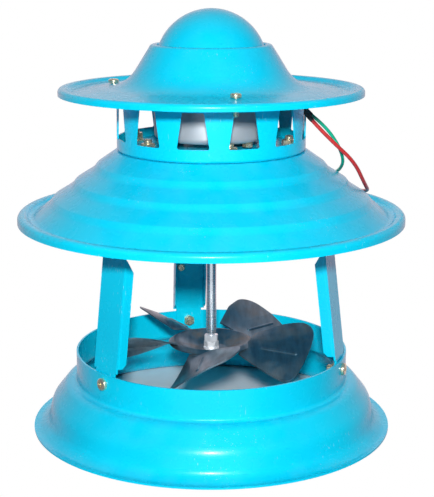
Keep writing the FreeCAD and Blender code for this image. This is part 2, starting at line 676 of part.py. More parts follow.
cap_screw = pan_screw(M4_R, CAP_SCREW_LENGTH, M4_HEAD_R, M4_HEAD_H)
cap_head_z = brim_z(CAP_SCREW_R - M4_HEAD_R) + SEAT
PARTS["cap_screws"] = ring_of(lifted(cap_screw, CAP_SCREW_R, cap_head_z), CAP_SCREW_ANGLES)
cap_nut_z = ring_flange_z(CAP_SCREW_R + M4_NUT_AF / 2 + 0.6) - SEAT - M4_NUT_H
PARTS["cap_nuts"] = ring_of(lifted(m4_nut, CAP_SCREW_R, cap_nut_z), CAP_SCREW_ANGLES)

# earthing screw through the web of the rear leg
earth_x = leg_face_x - (EARTH_SCREW_Z - lean_start_z) * math.tan(math.radians(lean))
earth = pan_screw(M4_R, EARTH_SCREW_LENGTH, M4_HEAD_R * 0.85, M4_HEAD_H)
earth.rotate(ORIGIN, V(0, 1, 0), -90)
earth.translate(V(-LEG_T - SEAT, EARTH_SCREW_OFFSET, 0))
earth_nut = m4_nut.copy()
earth_nut.rotate(ORIGIN, V(0, 1, 0), 90)
earth_nut.translate(V(SEAT, EARTH_SCREW_OFFSET, 0))
earth_drill = outward(Part.makeCylinder(M4_HOLE_R, 8), -5, 0, EARTH_SCREW_OFFSET)
for piece in (earth, earth_nut, earth_drill):
    piece.rotate(ORIGIN, V(0, 1, 0), -lean)
    piece.translate(V(earth_x, 0, EARTH_SCREW_Z))
PARTS["earth_screw"] = turned(earth, LEG_ANGLES[0])
PARTS["earth_nut"] = turned(earth_nut, LEG_ANGLES[0])
PARTS["leg_rear"] = turned(leg.cut(earth_drill), LEG_ANGLES[0])

# ---------------------------------------------------------------- rotor
hub_under = HUB_FLOOR_Z - IMPELLER_T
upper_nut_z = HUB_FLOOR_Z + SEAT + M6_WASHER_T
shaft_shoulder_z = HUB_FLOOR_Z + M6_WASHER_T + 2 * M6_NUT_H + SHOULDER_GAP
thread_end_z = hub_under - M6_WASHER_T - M6_NUT_H - THREAD_TAIL
shaft_top = can_top - CAN_T - END_PLAY
shaft = Part.makeCylinder(SHAFT_R, shaft_top - shaft_shoulder_z, V(0, 0, shaft_shoulder_z))
shaft = shaft.makeChamfer(0.5, [e for e in shaft.Edges if e.Curve.TypeId == "Part::GeomCircle"])
thread = Part.makeCylinder(M6_R, shaft_shoulder_z + 1 - thread_end_z, V(0, 0, thread_end_z))
thread = thread.makeChamfer(0.7, [e for e in thread.Edges if e.BoundBox.ZMax < thread_end_z + 1e-6])
PARTS["shaft"] = shaft.fuse(thread).removeSplitter()

rotor_r = STATOR_BORE_R - AIR_GAP
PARTS["rotor_core"] = tube(rotor_r, SHAFT_R + 0.02, stator_bottom, stator_top)
end_ring = tube(rotor_r - END_RING_INSET, END_RING_IN_R, 0, END_RING_H)
PARTS["rotor_end_rings"] = Part.makeCompound([
    lifted(end_ring, 0, stator_top + SEAT),
    lifted(end_ring, 0, stator_bottom - SEAT - END_RING_H)])
clip = tube(CLIP_R, SHAFT_R + 0.02, 0, CLIP_T)
PARTS["shaft_clips"] = Part.makeCompound([
    lifted(clip, 0, can_bottom + CAN_T + BUSH_LENGTH + CLIP_GAP),
    lifted(clip, 0, can_top - CAN_T - BUSH_LENGTH - CLIP_GAP - CLIP_T)])

# ---- impeller: dished hub and twisted blades, one pressed sheet
hub_path = [
    (M6_R + 0.1, HUB_FLOOR_Z),
    (HUB_FLOOR_R, HUB_FLOOR_Z),
    (HUB_RISE_R, HUB_BEAD_Z - 1.6),
    (HUB_BEAD_R, HUB_BEAD_Z),
    (HUB_R, HUB_BEAD_Z - 2.4),
]
hub = spun(hub_path, [3.0, 2.5, 2.5], -IMPELLER_T)


def blade_section(radius, pitch, camber, height):
    """Upright section across the cambered blade at one radius, low side first."""
    reach = BLADE_TIP_R / 2

    def step(tilt, size):
        return V(0, size * math.cos(math.radians(tilt)), size * math.sin(math.radians(tilt)))

    middle = V(radius, 0, height)
    low_crease = middle - step(pitch, BLADE_CREASE)
    high_crease = middle + step(pitch, BLADE_CREASE)
    line = [low_crease - step(pitch + camber, reach), low_crease,
            high_crease, high_crease + step(pitch - camber, reach)]
    tilts = [pitch + camber, pitch + camber / 2, pitch - camber / 2, pitch - camber]
    halves = [step(tilt + 90, IMPELLER_T / 2) for tilt in tilts]
    upper = [point + half for point, half in zip(line, halves)]
    lower = [point - half for point, half in zip(line, halves)]
    return Part.makePolygon(upper + lower[::-1] + upper[:1])


root_share = BLADE_ROOT_PITCH / BLADE_PITCH
loft = Part.makeLoft([
    blade_section(BLADE_ROOT_R - 2.0, BLADE_ROOT_PITCH, BLADE_CAMBER * root_share, BLADE_ROOT_Z),
    blade_section(BLADE_ROOT_R + 12.0, (BLADE_PITCH * 2 + BLADE_ROOT_PITCH) / 3,
                  BLADE_CAMBER * (2 + root_share) / 3, BLADE_Z + 1.0),
    blade_section(BLADE_TIP_R + 4.0, BLADE_PITCH, BLADE_CAMBER, BLADE_Z)], True, False)
tip_low = at(BLADE_TIP_R, BLADE_LOW_EDGE, 0)
tip_high = at(BLADE_TIP_R, BLADE_HIGH_EDGE, 0)
shoulder = at(BLADE_SHOULDER_R, BLADE_SHOULDER_ANGLE, 0)
root_low = V(BLADE_ROOT_R, -BLADE_ROOT_LOW_W, 0)
root_high = V(BLADE_ROOT_R, BLADE_ROOT_HIGH_W, 0)
sides = [Part.LineSegment(a, b).toShape() for a, b in
         ((root_low, tip_low), (tip_high, shoulder), (shoulder, root_high), (root_high, root_low))]
tip_arc = Part.Arc(tip_low, V(BLADE_TIP_R, 0, 0), tip_high).toShape()
plan = Part.Face(Part.Wire([sides[0], tip_arc] + sides[1:]))
plan = plan.extrude(V(0, 0, BLADE_TIP_R))


def corner_of(solid, corner):
    """The upright edge that stands on one corner of the blade's plan."""
    return [e for e in solid.Edges if e.BoundBox.ZLength > BLADE_TIP_R - 1
            and math.hypot(e.BoundBox.Center.x - corner.x, e.BoundBox.Center.y - corner.y) < 0.1]


plan = plan.makeFillet(BLADE_LOW_CORNER, corner_of(plan, tip_low))
plan = plan.makeFillet(BLADE_HIGH_CORNER, corner_of(plan, tip_high))
plan = plan.makeFillet(BLADE_LOW_CORNER, corner_of(plan, shoulder))
plan.translate(V(0, 0, BLADE_Z - BLADE_TIP_R / 2))
blade = loft.common(plan)
rib_start = V(BLADE_ROOT_R + BLADE_RIB_START, 0, BLADE_Z + 0.8)
rib_end = V(BLADE_TIP_R - BLADE_RIB_END, 0, BLADE_Z + 0.2)
rib = Part.makeCylinder(BLADE_RIB_R, (rib_end - rib_start).Length, rib_start, rib_end - rib_start)
for end in (rib_start, rib_end):
    rib = rib.fuse(Part.makeSphere(BLADE_RIB_R, end))
blade = blade.fuse(rib)
impeller = hub
for k in range(BLADES):
    impeller = impeller.fuse(turned(blade, BLADE_FIRST + k * 360.0 / BLADES))
PARTS["impeller"] = impeller.removeSplitter()

hub_washer = tube(M6_WASHER_R, M6_R + 0.1, 0, M6_WASHER_T)
PARTS["hub_washers"] = Part.makeCompound([
    lifted(hub_washer, 0, HUB_FLOOR_Z + 0.05),
    lifted(hub_washer, 0, hub_under - 0.05 - M6_WASHER_T)])
PARTS["hub_nut"] = lifted(m6_nut, 0, upper_nut_z)
PARTS["hub_lock_nut"] = turned(lifted(m6_nut, 0, upper_nut_z + M6_NUT_H + 0.05), 22)
PARTS["hub_under_nut"] = turned(lifted(m6_nut, 0, hub_under - 0.1 - M6_WASHER_T - M6_NUT_H), 40)

# ---------------------------------------------------------------- leads
def lead_start(side, radius):
    point = V(radius, side * LEAD_PITCH / 2, lead_exit_z)
    turn = FreeCAD.Rotation(AXIS, LEAD_EXIT_ANGLE)
    return turn.multVec(point)


red_points = [
    lead_start(-1, 38.0), lead_start(-1, 54.0),
    at(73.0, -10.5, 248.5), at(92.5, -6.0, 227.5), at(110.6, -0.5, 210.2), at(121.5, 6.5, 190.3),
    at(134.5, 18.0, 178.7), at(139.0, 34.0, 174.6), at(139.0, 51.0, 173.9), at(139.0, 68.0, 173.6),
    at(139.0, 85.0, 173.9)]
green_points = [
    lead_start(1, 38.0), lead_start(1, 52.0),
    at(71.0, -6.0, 252.0), at(88.0, -2.5, 237.5), at(98.5, 1.0, 222.5), at(104.5, 7.0, 209.0),
    at(107.0, 15.5, 200.5), at(111.5, 24.0, 195.0), at(118.0, 33.0, 190.0), at(126.0, 44.0, 184.5),
    at(132.0, 57.0, 180.5), at(133.0, 71.0, 179.8)]
PARTS["lead_red"] = cord(red_points, RED_R, "red lead")
PARTS["lead_green"] = cord(green_points, GREEN_R, "green lead")

# ---------------------------------------------------------------- export
os.makedirs("parts", exist_ok=True)
for name, shape in PARTS.items():
    shape.exportStep("parts/" + name + ".step")
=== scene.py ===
import bpy
import bmesh
import json
import math
from mathutils import Vector, Matrix


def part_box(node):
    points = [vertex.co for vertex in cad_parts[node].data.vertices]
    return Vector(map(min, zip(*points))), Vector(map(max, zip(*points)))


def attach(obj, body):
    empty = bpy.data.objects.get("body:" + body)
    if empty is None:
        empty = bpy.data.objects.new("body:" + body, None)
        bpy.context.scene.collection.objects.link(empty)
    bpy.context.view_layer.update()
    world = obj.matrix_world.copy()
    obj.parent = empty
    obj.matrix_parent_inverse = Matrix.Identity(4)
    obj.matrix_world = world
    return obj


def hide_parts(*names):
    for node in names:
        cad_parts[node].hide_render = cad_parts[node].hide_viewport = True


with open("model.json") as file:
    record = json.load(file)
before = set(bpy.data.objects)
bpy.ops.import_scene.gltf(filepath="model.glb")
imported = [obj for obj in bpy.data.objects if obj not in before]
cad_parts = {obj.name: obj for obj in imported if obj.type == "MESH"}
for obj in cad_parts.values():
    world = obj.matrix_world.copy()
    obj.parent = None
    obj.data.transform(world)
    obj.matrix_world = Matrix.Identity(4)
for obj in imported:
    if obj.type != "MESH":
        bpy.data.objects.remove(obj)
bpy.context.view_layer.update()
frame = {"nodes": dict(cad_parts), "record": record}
nodes = frame["nodes"]
MM = 0.001
UP = Vector((0, 0, 1))


# ------------------------------------------------------------------ camera
CAMERA_LENS = 93.2                          # mm, on a sensor 36 mm wide
CAMERA_SENSOR = 36.0
CAMERA_SHIFT_X = 0.0115
CAMERA_CLIP = (0.05, 20)
CAMERA_PLACE = (0.0, -0.9842, 0.3704)
CAMERA_TILT = 76.89                         # degrees, where 90 looks level


def make_camera():
    data = bpy.data.cameras.new("camera")
    data.lens = CAMERA_LENS
    data.sensor_width = CAMERA_SENSOR
    data.shift_x = CAMERA_SHIFT_X
    data.clip_start, data.clip_end = CAMERA_CLIP
    camera = bpy.data.objects.new("camera", data)
    camera.location = CAMERA_PLACE
    camera.rotation_euler = (math.radians(CAMERA_TILT), 0, 0)
    bpy.context.scene.collection.objects.link(camera)
    bpy.context.scene.camera = camera


# ------------------------------------------------------------------ shader helpers
class Graph:
    """Short calls that add nodes to a material's or world's node tree."""

    MIX_FACTOR, MIX_A, MIX_B, MIX_RESULT = 0, 6, 7, 2     # a Mix node's sockets for colours

    def __init__(self, tree):
        self.tree = tree

    def feed(self, socket, value):
        """Link another node's output to a socket, or set the socket to a plain value."""
        if isinstance(value, bpy.types.NodeSocket):
            self.tree.links.new(value, socket)
        else:
            socket.default_value = value

    def node(self, kind, **inputs):
        """A new node, with each input by its name, spaces written as underscores."""
        made = self.tree.nodes.new(kind)
        for name, value in inputs.items():
            self.feed(made.inputs[name.replace("_", " ")], value)
        return made

    def split(self, vector):
        """The X, Y and Z outputs of a vector."""
        return self.node("ShaderNodeSeparateXYZ", Vector=vector).outputs

    def ramp(self, value, low, high, out_low=0.0, out_high=1.0):
        """The value's range low to high, stretched over out_low to out_high."""
        return self.node("ShaderNodeMapRange", Value=value, From_Min=low, From_Max=high,
                         To_Min=out_low, To_Max=out_high).outputs["Result"]

    def math(self, operation, *values):
        made = self.node("ShaderNodeMath")
        made.operation = operation
        for socket, value in zip(made.inputs, values):
            self.feed(socket, value)
        return made.outputs[0]

    def mix(self, factor, a, b):
        """From colour a to colour b; a colour is an output or three numbers."""
        made = self.node("ShaderNodeMix")
        made.data_type = "RGBA"
        self.feed(made.inputs[self.MIX_FACTOR], factor)
        for index, colour in ((self.MIX_A, a), (self.MIX_B, b)):
            self.feed(made.inputs[index], (*colour, 1) if isinstance(colour, tuple) else colour)
        return made.outputs[self.MIX_RESULT]


class Shader(Graph):
    """A Principled material, whose textures lie in the object's own metres."""

    RING_TURN = 0.003       # how much an angle in radians counts against a radius in metres

    def __init__(self, name, colour, rough, metal=0.0):
        self.mat = bpy.data.materials.new(name)
        self.mat.use_nodes = True
        super().__init__(self.mat.node_tree)
        self.bsdf = self.tree.nodes["Principled BSDF"]
        self.set("Base Color", (*colour, 1))
        self.set("Roughness", rough)
        self.set("Metallic", metal)
        self.coords = self.node("ShaderNodeTexCoord").outputs["Object"]

    def set(self, socket, value):
        self.feed(self.bsdf.inputs[socket], value)

    def noise(self, scale, detail=3.0, rough=0.5, coords=None):
        return self.node("ShaderNodeTexNoise", Vector=coords or self.coords, Scale=scale,
                         Detail=detail, Roughness=rough).outputs["Fac"]

    def scaled(self, x, y, z, coords=None):
        """Coordinates stretched by a factor along each axis."""
        made = self.node("ShaderNodeMapping", Vector=coords or self.coords, Scale=(x, y, z))
        return made.outputs["Vector"]

    def turned_coords(self):
        """Coordinates in which a texture becomes rings about the fan axis."""
        x, y, z = self.split(self.coords)
        squares = self.math("ADD", self.math("MULTIPLY", x, x), self.math("MULTIPLY", y, y))
        radius = self.math("SQRT", squares)
        angle = self.math("MULTIPLY", self.math("ARCTAN2", y, x), self.RING_TURN)
        return self.node("ShaderNodeCombineXYZ", X=radius, Y=z, Z=angle).outputs[0]

    def bump(self, height, distance, strength=1.0, under=None):
        """A bump on the surface, laid over the bump under it where there is one."""
        made = self.node("ShaderNodeBump", Height=height, Distance=distance, Strength=strength)
        if under is not None:
            self.feed(made.inputs["Normal"], under)
        self.set("Normal", made.outputs["Normal"])
        return made.outputs["Normal"]


# ------------------------------------------------------------------ materials
LAMINATION_PITCH = 0.5 * MM


def blue_paint():
    """Cyan stove enamel on spun sheet: faint rings, orange peel, a film of dust, pale scuffs."""
    s = Shader("blue_paint", (0.001, 0.56, 0.77), 0.30)
    s.set("Specular IOR Level", 0.22)
    s.set("Coat Weight", 0.03)
    s.set("Coat Roughness", 0.10)
    patches = s.ramp(s.noise(14, 4), 0.35, 0.65)
    colour = s.mix(patches, (0.001, 0.54, 0.75), (0.001, 0.59, 0.79))
    # the dust lies on what faces up
    up = s.split(s.node("ShaderNodeNewGeometry").outputs["Normal"])["Z"]
    film = s.ramp(up, 0.2, 1.0, 0.0, 0.05)
    dust = s.math("MULTIPLY", film, s.ramp(s.noise(60, 5), 0.35, 0.75))
    colour = s.mix(dust, colour, (0.42, 0.50, 0.52))
    # short upright scuffs, only inside some patches
    scuffs = s.ramp(s.noise(1.0, 1, coords=s.scaled(1300, 1300, 160)), 0.70, 0.76)
    scuffs = s.math("MULTIPLY", scuffs, s.ramp(s.noise(26, 2), 0.54, 0.62, 0.0, 0.7))
    colour = s.mix(scuffs, colour, (0.45, 0.80, 0.86))
    s.set("Base Color", colour)
    s.set("Roughness", s.ramp(s.noise(90, 4), 0.3, 0.7, 0.23, 0.30))
    rings = s.noise(1.0, 2, coords=s.scaled(900, 900, 900, s.turned_coords()))
    peel = s.noise(1100, 2)
    s.bump(peel, 0.06 * MM, 0.6, s.bump(rings, 0.06 * MM, 0.5))
    return s.mat


def motor_grey():
    """Silver-grey enamel on the motor's pressed shells, a little mottled."""
    s = Shader("motor_grey", (0.50, 0.55, 0.59), 0.42, 0.45)
    patches = s.ramp(s.noise(35, 4), 0.35, 0.7)
    s.set("Base Color", s.mix(patches, (0.53, 0.58, 0.62), (0.43, 0.48, 0.52)))
    s.set("Roughness", s.ramp(s.noise(160, 4), 0.3, 0.7, 0.38, 0.52))
    s.bump(s.noise(700, 3), 0.06 * MM, 0.5)
    return s.mat


def bright_steel():
    """Ground steel bar, with fine lines round it."""
    s = Shader("bright_steel", (0.92, 0.93, 0.95), 0.24, 0.90)
    lines = s.noise(1.0, 3, coords=s.scaled(60, 60, 2600))
    tint = s.ramp(lines, 0.3, 0.7)
    s.set("Base Color", s.mix(tint, (0.92, 0.93, 0.95), (0.78, 0.79, 0.81)))
    s.set("Roughness", s.ramp(lines, 0.3, 0.7, 0.20, 0.30))
    s.bump(lines, 0.02 * MM, 0.5)
    return s.mat


def blade_steel():
    """Dark bluish sheet steel, with rolling marks and brown dust that gathers round the hub."""
    s = Shader("blade_steel", (0.18, 0.28, 0.34), 0.38, 0.9)
    marks = s.noise(1.0, 3, coords=s.scaled(220, 40, 110))
    radius = s.split(s.turned_coords())["X"]
    hub = s.ramp(radius, 0.024, 0.040, 0.55, 0.0)
    patches = s.ramp(s.noise(38, 6, 0.62), 0.44, 0.70)
    dust = s.math("ADD", s.math("MULTIPLY", patches, 0.55), s.math("MULTIPLY", hub, patches))
    dust = s.math("MINIMUM", dust, 1.0)
    colour = s.mix(s.ramp(marks, 0.3, 0.7), (0.19, 0.32, 0.39), (0.10, 0.19, 0.24))
    s.set("Base Color", s.mix(dust, colour, (0.20, 0.15, 0.12)))
    clean = s.ramp(marks, 0.3, 0.7, 0.30, 0.40)
    s.set("Roughness", s.math("ADD", clean, s.math("MULTIPLY", dust, 0.22)))
    s.set("Metallic", s.math("SUBTRACT", 0.95, s.math("MULTIPLY", dust, 0.55)))
    s.bump(marks, 0.04 * MM, 0.4)
    return s.mat


def plated(name, light, dark, rough=0.28, metal=1.0):
    """Plated or plain small metal parts, clouded from a light to a dark tint."""
    s = Shader(name, light, rough, metal)
    s.set("Base Color", s.mix(s.ramp(s.noise(260, 3), 0.35, 0.65), light, dark))
    s.set("Roughness", s.ramp(s.noise(500, 3), 0.3, 0.7, rough - 0.06, rough + 0.10))
    s.bump(s.noise(1800, 2), 0.02 * MM, 0.6)
    return s.mat


def laminations():
    """The edges of stacked motor sheets."""
    s = Shader("lamination_steel", (0.2, 0.21, 0.23), 0.5, 0.8)
    height = s.split(s.coords)["Z"]
    stack = s.math("SINE", s.math("MULTIPLY", height, 2 * math.pi / LAMINATION_PITCH))
    s.set("Base Color", s.mix(s.ramp(stack, -1, 1), (0.12, 0.12, 0.13), (0.30, 0.31, 0.33)))
    s.bump(stack, 0.1 * MM, 0.6)
    return s.mat


def moulded(name, colour, dark, rough=0.35, coat=0.0):
    """Rubber and cable insulation."""
    s = Shader(name, colour, rough)
    s.set("Coat Weight", coat)
    s.set("Base Color", s.mix(s.ramp(s.noise(80, 4), 0.3, 0.7), colour, dark))
    s.set("Roughness", s.ramp(s.noise(300, 3), 0.3, 0.7, rough - 0.05, rough + 0.1))
    s.bump(s.noise(1500, 2), 0.03 * MM, 0.5)
    return s.mat


def floor_paper():
    s = Shader("floor_paper", (0.78, 0.79, 0.80), 0.7)
    patches = s.ramp(s.noise(30, 4), 0.3, 0.7)
    s.set("Base Color", s.mix(patches, (0.80, 0.81, 0.82), (0.70, 0.72, 0.74)))
    s.bump(s.noise(400, 3), 0.2 * MM, 0.1)
    return s.mat


def backdrop_white():
    """Plain white that needs no light."""
    s = Shader("backdrop_white", (0.0, 0.0, 0.0), 1.0)
    s.set("Emission Color", (1, 1, 1, 1))
    s.set("Emission Strength", 1.0)
    s.set("Specular IOR Level", 0.0)
    return s.mat


MATERIALS = {
    "blue_paint": blue_paint(),
    "motor_grey": motor_grey(),
    "bright_steel": bright_steel(),
    "blade_steel": blade_steel(),
    "lamination_steel": laminations(),
    "cast_aluminium": plated("cast_aluminium", (0.68, 0.69, 0.71), (0.55, 0.56, 0.58), 0.38),
    "copper": plated("copper", (0.75, 0.33, 0.17), (0.55, 0.22, 0.10), 0.30),
    "bronze": plated("bronze", (0.58, 0.40, 0.20), (0.42, 0.27, 0.13), 0.40),
    "yellow_zinc": plated("yellow_zinc", (0.86, 0.76, 0.52), (0.68, 0.62, 0.46), 0.26, 0.85),
    "satin_zinc": plated("satin_zinc", (0.95, 0.96, 0.97), (0.86, 0.87, 0.89), 0.32, 0.5),
    "black_rubber": moulded("black_rubber", (0.018, 0.018, 0.02), (0.03, 0.03, 0.032), 0.55),
    "red_pvc": moulded("red_pvc", (0.62, 0.035, 0.03), (0.5, 0.02, 0.02), 0.30, 0.2),
    "green_pvc": moulded("green_pvc", (0.004, 0.46, 0.26), (0.003, 0.34, 0.19), 0.34, 0.05),
}
# nodes of the bright_steel slot that are plated and duller than the shaft
SATIN_NODES = ("hub_nut", "hub_lock_nut", "hub_under_nut", "hub_washers")
CREASE_ANGLE = math.radians(32.0)           # edges sharper than this stay crisp


def shade(mesh):
    mesh.shade_smooth()
    mesh.set_sharp_from_angle(angle=CREASE_ANGLE)


def dress_cad_nodes():
    slots = {row["node"]: row["material_slot"] for row in frame["record"]["subparts"]}
    for name, obj in nodes.items():
        obj.data.materials.clear()
        obj.data.materials.append(MATERIALS["satin_zinc" if name in SATIN_NODES else slots[name]])
        shade(obj.data)


def finish_mesh(name, bm, slot, body):
    """Turn a bmesh into a piece that rides on a body, in a slot's material."""
    bmesh.ops.recalc_face_normals(bm, faces=bm.faces)
    mesh = bpy.data.meshes.new(name)
    bm.to_mesh(mesh)
    bm.free()
    mesh.materials.append(MATERIALS[slot])
    shade(mesh)
    obj = bpy.data.objects.new(name, mesh)
    bpy.context.scene.collection.objects.link(obj)
    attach(obj, body)
    return obj


# ------------------------------------------------------------------ screw threads
WELD = 1e-6
END_DEPTH = 0.6 * MM                        # points this near an end show how wide the end is
THREAD_STEPS = 20                           # steps in a turn
THREAD_LEAD_IN = 0.9 * MM                   # plain shank before the first turn
THREAD_SINK = 0.1 * MM                      # how far a ridge's foot lies inside its shank
THREAD_CREST = 0.14                         # a ridge's height, as a share of the pitch
THREAD_FOOT = 0.42                          # half a ridge's width at its foot and at its crest,
THREAD_TIP = 0.07                           # as shares of the pitch
THREADS = [
    # piece, node, shank radius, pitch and threaded length in mm, upright
    ("leg_lower_threads", "leg_lower_screws", 2.45, 0.8, 7.0, False),
    ("leg_upper_threads", "leg_upper_screws", 2.95, 1.0, 14.0, True),
    ("neck_threads", "neck_screws", 2.95, 1.0, 14.0, True),
    ("cap_threads", "cap_screws", 1.95, 0.7, 9.0, True),
    ("motor_bolt_threads", "motor_bolts", 1.95, 0.7, 5.0, True),
]
SHAFT_THREAD = (2.95, 1.0, 19.0)            # the same three sizes


def islands(mesh):
    """The mesh's separate pieces, each as a list of vertex places."""
    bm = bmesh.new()
    bm.from_mesh(mesh)
    bmesh.ops.remove_doubles(bm, verts=bm.verts, dist=WELD)
    left = set(bm.verts)
    found = []
    for first in bm.verts:
        if first not in left:
            continue
        left.remove(first)
        waiting = [first]
        piece = []
        while waiting:
            vert = waiting.pop()
            piece.append(vert.co.copy())
            for edge in vert.link_edges:
                other = edge.other_vert(vert)
                if other in left:
                    left.remove(other)
                    waiting.append(other)
        found.append(piece)
    bm.free()
    return found


def free_end(piece, upright):
    """A screw's free end, which is its narrower one, and the direction from there to its head."""
    low = Vector([min(p[i] for p in piece) for i in range(3)])
    high = Vector([max(p[i] for p in piece) for i in range(3)])
    middle = (low + high) / 2
    axis = UP if upright else Vector((middle.x, middle.y, 0)).normalized()
    along = [(p - middle).dot(axis) for p in piece]
    ends = []
    for side in (-1, 1):
        reach = max(side * t for t in along)
        wide = max(((p - middle) - axis * t).length
                   for p, t in zip(piece, along) if side * t > reach - END_DEPTH)
        ends.append((wide, middle + axis * (side * reach), -side * axis))
    return min(ends, key=lambda end: end[0])[1:]


def add_ridge(bm, place, direction, radius, pitch, length):
    """One helical ridge, a thread's crest, standing out of a plain shank; sizes are in mm."""
    radius, pitch, length = radius * MM, pitch * MM, length * MM
    turn = direction.to_track_quat("Z", "Y").to_matrix()
    steps = int(THREAD_STEPS * length / pitch)
    foot = radius - THREAD_SINK
    rows = []
    for i in range(steps + 1):
        angle = 2 * math.pi * i / THREAD_STEPS
        height = THREAD_LEAD_IN + pitch * i / THREAD_STEPS
        # the crest rises over the first turn and falls over the last
        crest = radius + pitch * THREAD_CREST * min(1.0, i / THREAD_STEPS,
                                                    (steps - i) / THREAD_STEPS)
        row = []
        for r, rise in ((foot, -THREAD_FOOT), (crest, -THREAD_TIP),
                        (crest, THREAD_TIP), (foot, THREAD_FOOT)):
            local = Vector((r * math.cos(angle), r * math.sin(angle), height + rise * pitch))
            row.append(bm.verts.new(place + turn @ local))
        rows.append(row)
    for a, b in zip(rows, rows[1:]):
        for j in range(len(a)):
            k = (j + 1) % len(a)
            bm.faces.new((a[j], b[j], b[k], a[k]))
    bm.faces.new(rows[0])
    bm.faces.new(rows[-1][::-1])


def make_threads():
    for name, node, radius, pitch, length, upright in THREADS:
        bm = bmesh.new()
        for piece in islands(nodes[node].data):
            place, direction = free_end(piece, upright)
            add_ridge(bm, place, direction, radius, pitch, length)
        finish_mesh(name, bm, "yellow_zinc", "frame")
    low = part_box("shaft")[0]
    bm = bmesh.new()
    add_ridge(bm, Vector((0, 0, low[2])), UP, *SHAFT_THREAD)
    finish_mesh("shaft_thread", bm, "bright_steel", "rotor")


# ------------------------------------------------------------------ leads
GROMMET_ANGLE = -9.0                        # degrees round from +X
GROMMET_HEIGHT = 274.0                      # mm
LEAD_OFFSET = 2.0                           # mm, of each lead from the grommet's middle


def at(radius, angle, height):
    """A point by its distance from the fan axis, its angle from +X in degrees and its height."""
    a = math.radians(angle)
    return Vector((radius * math.cos(a), radius * math.sin(a), height)) * MM


def lead_start(side, radius):
    """A point of the straight stretch through the grommet, where the leads are 4 mm apart."""
    point = Vector((radius, side * LEAD_OFFSET, GROMMET_HEIGHT)) * MM
    return Matrix.Rotation(math.radians(GROMMET_ANGLE), 3, "Z") @ point


RED_ROUTE = [
    lead_start(-1, 38.0), lead_start(-1, 54.0),
    at(73.0, -10.5, 248.5), at(92.5, -6.0, 227.5), at(110.6, -0.5, 210.2), at(121.5, 6.5, 190.3),
    at(134.5, 18.0, 178.7), at(139.0, 34.0, 174.6), at(139.0, 51.0, 173.9), at(139.0, 68.0, 173.6),
    at(139.0, 85.0, 173.9)]
GREEN_ROUTE = [
    lead_start(1, 38.0), lead_start(1, 52.0),
    at(71.0, -6.0, 252.0), at(88.0, -2.5, 237.5), at(98.5, 1.0, 222.5), at(104.5, 7.0, 209.0),
    at(107.0, 15.5, 200.5), at(111.5, 24.0, 195.0), at(118.0, 33.0, 190.0), at(126.0, 44.0, 184.5),
    at(132.0, 57.0, 180.5), at(133.0, 71.0, 179.8)]

TUBE_SIDES = 16
# a black tube over each lead's first stretch, which makes that stretch dark
DARK_TUBE_WALL = 0.35 * MM
DARK_TUBE_LIP = 0.6                            # the wall at a dark tube's two ends, as a share of it
DARK_TUBE_SPAN = (47.5 * MM, 77.5 * MM)        # distances from the fan axis
STRANDS = 7                                 # one in the middle and six round it
STRAND_SIDES = 8
STRAND_R = 0.24 * MM
STRAND_TIP = 0.6                            # a strand's radius at its tip, as a share of it
STRAND_ROOT = 0.8 * MM                      # how far a strand starts inside its lead
STRAND_LENGTH = 4.5 * MM
STRAND_CUT = (0.88, 0.03)                   # the first one's share of it, and what each next adds
STRAND_RING = 0.38                          # where the six start, as a share of the lead's radius
STRAND_FLARE = 0.5                          # how far they then spread, as a share of it
STRAND_STEPS = (0, 0.25, 0.5, 0.75, 1.0)


def spline_points(curve):
    """Points along the lead's own NURBS line, read from the curve with no bevel."""
    bare = curve.copy()
    bare.bevel_depth = 0.0
    holder = bpy.data.objects.new("holder", bare)
    bpy.context.scene.collection.objects.link(holder)
    bpy.context.view_layer.update()
    mesh = bpy.data.meshes.new_from_object(holder)
    points = [v.co.copy() for v in mesh.vertices]
    bpy.data.objects.remove(holder)
    bpy.data.meshes.remove(mesh)
    bpy.data.curves.remove(bare)
    return points


def square_to(ahead, side):
    """Two unit vectors square to ahead, the first as near to side as it can be."""
    side = (side - ahead * side.dot(ahead)).normalized()
    return side, ahead.cross(side)


def add_tube(bm, points, radii, sides=TUBE_SIDES):
    """A closed round tube along points, with a radius at each."""
    loops = []
    side = UP
    for i, (point, radius) in enumerate(zip(points, radii)):
        ahead = (points[min(i + 1, len(points) - 1)] - points[max(i - 1, 0)]).normalized()
        side, across = square_to(ahead, side)
        angles = (2 * math.pi * k / sides for k in range(sides))
        loops.append([bm.verts.new(point + radius * (math.cos(a) * side + math.sin(a) * across))
                      for a in angles])
    for a, b in zip(loops, loops[1:]):
        for k in range(sides):
            n = (k + 1) % sides
            bm.faces.new((a[k], a[n], b[n], b[k]))
    bm.faces.new(loops[0][::-1])
    bm.faces.new(loops[-1])


def make_dark_tube(name, points, radius):
    """A black tube over the lead's first stretch, through the motor ring, which makes that stretch
    dark.
    """
    inner, outer = DARK_TUBE_SPAN
    run = [p for p in points if inner <= math.hypot(p.x, p.y) <= outer]
    radii = [radius + DARK_TUBE_WALL] * len(run)
    radii[0] = radii[-1] = radius + DARK_TUBE_WALL * DARK_TUBE_LIP
    bm = bmesh.new()
    add_tube(bm, run, radii)
    return finish_mesh(name, bm, "black_rubber", "frame")


def make_strands(name, points, radius):
    """The lead's bared wires, fanned out a little at its end."""
    end = points[-1]
    ahead = (end - points[-2]).normalized()
    side, across = square_to(ahead, UP)
    shortest, more = STRAND_CUT
    radii = [STRAND_R] * (len(STRAND_STEPS) - 1) + [STRAND_R * STRAND_TIP]
    bm = bmesh.new()
    for k in range(STRANDS):
        angle = k * math.pi / 3
        out = Vector() if k == 0 else math.cos(angle) * side + math.sin(angle) * across
        base = end - ahead * STRAND_ROOT + out * radius * STRAND_RING
        reach = STRAND_LENGTH * (shortest + more * k)
        run = [base + ahead * reach * t + out * radius * STRAND_FLARE * t * t
               for t in STRAND_STEPS]
        add_tube(bm, run, radii, STRAND_SIDES)
    return finish_mesh(name, bm, "copper", "frame")


